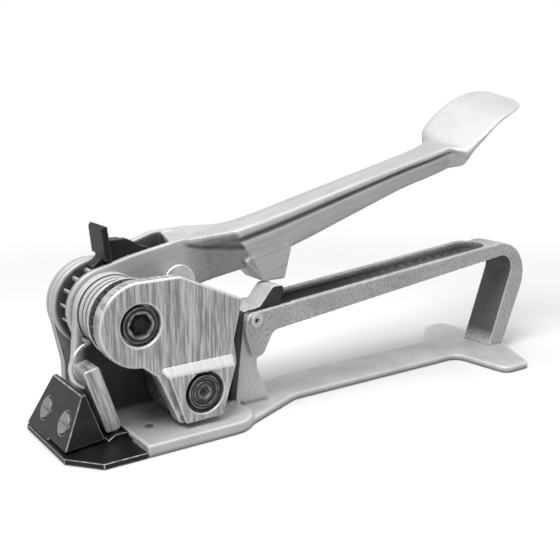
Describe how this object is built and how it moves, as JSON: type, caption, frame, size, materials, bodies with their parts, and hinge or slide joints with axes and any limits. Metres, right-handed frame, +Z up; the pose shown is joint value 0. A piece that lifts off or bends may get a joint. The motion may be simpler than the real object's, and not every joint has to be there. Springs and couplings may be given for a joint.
{
  "type": "strapping tensioner",
  "caption": "Hand lever strapping tensioner: ratchet lever, geared feed wheel on a rocker, strap gripper, wedge nose, long flat base with T foot and D-shaped channel handle.",
  "frame": {"origin": "on the flat underside, below the lever shaft, on the strap's centre line", "axes": "+X from the nose to the tail, +Y away from the open side, +Z up"},
  "size_m": [0.3437, 0.102, 0.1784],
  "materials": {
    "base_casting": "satin cast steel",
    "nose_plate": "black oxide",
    "nose_rivets": "machined",
    "gripper_block": "black oxide",
    "block_screws": "black oxide",
    "gripper_anvil": "black oxide, hardened",
    "feed_anvil": "hardened",
    "far_plate": "satin cast steel",
    "far_plate_screws": "black oxide",
    "d_handle": "grained cast steel",
    "d_handle_pin": "machined",
    "foot_screws": "machined",
    "lever_shaft": "ground",
    "pivot_screw": "black oxide",
    "sleeve_bush": "bronze",
    "gripper_pin": "ground",
    "gripper_spring": "spring wire",
    "hold_pawl_pin": "ground",
    "hold_pawl_spring": "spring wire",
    "rocker_spring": "spring wire",
    "rocker": "ground face",
    "rocker_bush": "bronze",
    "feed_shaft": "black oxide",
    "feed_shaft_washer": "black oxide",
    "thrust_washer": "bronze",
    "idler_pin": "ground",
    "drive_sleeve": "ground",
    "drive_keys": "machined",
    "ratchet_wheel": "hardened, dark",
    "drive_gear": "cut gear",
    "gear_side_discs": "turned",
    "idler_gear": "cut gear",
    "feed_wheel": "hardened, grooved rim",
    "feed_gear": "cut gear",
    "feed_bush": "bronze",
    "lever": "satin forged steel",
    "drive_pawl_pin": "ground",
    "spring_cap": "turned",
    "drive_pawl_spring": "spring wire",
    "drive_pawl": "black oxide",
    "hold_pawl": "black oxide",
    "gripper": "ground face"
  },
  "bodies": {
    "frame": {"base_casting": "base_casting", "nose_plate": "nose_plate", "nose_rivets": "nose_rivets", "gripper_block": "gripper_block", "block_screws": "block_screws", "gripper_anvil": "gripper_anvil", "feed_anvil": "feed_anvil", "far_plate": "far_plate", "far_plate_screws": "far_plate_screws", "d_handle": "d_handle", "d_handle_pin": "d_handle_pin", "foot_screws": "foot_screws", "lever_shaft": "lever_shaft", "pivot_screw": "pivot_screw", "sleeve_bush": "sleeve_bush", "gripper_spring": "gripper_spring", "hold_pawl_pin": "hold_pawl_pin", "hold_pawl_spring": "hold_pawl_spring", "rocker_spring": "rocker_spring"},
    "rocker": {"rocker": "rocker", "rocker_bush": "rocker_bush", "feed_shaft": "feed_shaft", "feed_shaft_washer": "feed_shaft_washer", "thrust_washer": "thrust_washer", "idler_pin": "idler_pin"},
    "drive": {"drive_sleeve": "drive_sleeve", "drive_keys": "drive_keys", "ratchet_wheel": "ratchet_wheel", "drive_gear": "drive_gear", "gear_side_discs": "gear_side_discs"},
    "idler": {"idler_gear": "idler_gear"},
    "feed_roller": {"feed_wheel": "feed_wheel", "feed_gear": "feed_gear", "feed_bush": "feed_bush"},
    "lever": {"lever": "lever", "drive_pawl_pin": "drive_pawl_pin", "spring_cap": "spring_cap", "drive_pawl_spring": "drive_pawl_spring"},
    "drive_pawl": {"drive_pawl": "drive_pawl"},
    "hold_pawl": {"hold_pawl": "hold_pawl"},
    "gripper": {"gripper": "gripper", "gripper_pin": "gripper_pin"}
  },
  "joints": [
    {"name": "rocker_lift", "type": "hinge", "parent": "frame", "child": "rocker", "pos_m": [0, 0, 0.066], "axis": [0, -1, 0], "range_deg": [0, 6], "deforming": ["rocker_spring"]},
    {"name": "lever_swing", "type": "hinge", "parent": "rocker", "child": "lever", "pos_m": [0, 0, 0.066], "axis": [0, -1, 0], "range_deg": [0, 90]},
    {"name": "drive_turn", "type": "hinge", "parent": "rocker", "child": "drive", "pos_m": [0, 0, 0.066], "axis": [0, -1, 0], "range_deg": [0, 90]},
    {"name": "idler_turn", "type": "hinge", "parent": "rocker", "child": "idler", "pos_m": [0.02586, 0, 0.0508], "axis": [0, -1, 0], "range_deg": [-168, 0]},
    {"name": "feed_turn", "type": "hinge", "parent": "rocker", "child": "feed_roller", "pos_m": [0.0335, 0, 0.0249], "axis": [0, -1, 0], "range_deg": [0, 107]},
    {"name": "drive_pawl_lift", "type": "hinge", "parent": "lever", "child": "drive_pawl", "pos_m": [0.024, 0, 0.09], "axis": [0, 1, 0], "range_deg": [0, 18], "stiffness_Nm_per_rad": 0.02, "springref_deg": -17.19, "deforming": ["drive_pawl_spring"]},
    {"name": "hold_pawl_swing", "type": "hinge", "parent": "frame", "child": "hold_pawl", "pos_m": [0.02, 0, 0.0378], "axis": [0, 1, 0], "range_deg": [-9.5, 6], "stiffness_Nm_per_rad": 0.05, "deforming": ["hold_pawl_spring"]},
    {"name": "gripper_lift", "type": "hinge", "parent": "frame", "child": "gripper", "pos_m": [-0.016, 0, 0.0245], "axis": [0, -1, 0], "range_deg": [0, 12], "stiffness_Nm_per_rad": 0.1, "springref_deg": -17.19, "deforming": ["gripper_spring"]}
  ],
  "couplings": [
    {"joint": "drive_turn", "follows": "lever_swing", "ratio": 1},
    {"joint": "idler_turn", "follows": "lever_swing", "ratio": -1.8571},
    {"joint": "feed_turn", "follows": "lever_swing", "ratio": 1.1818}
  ]
}
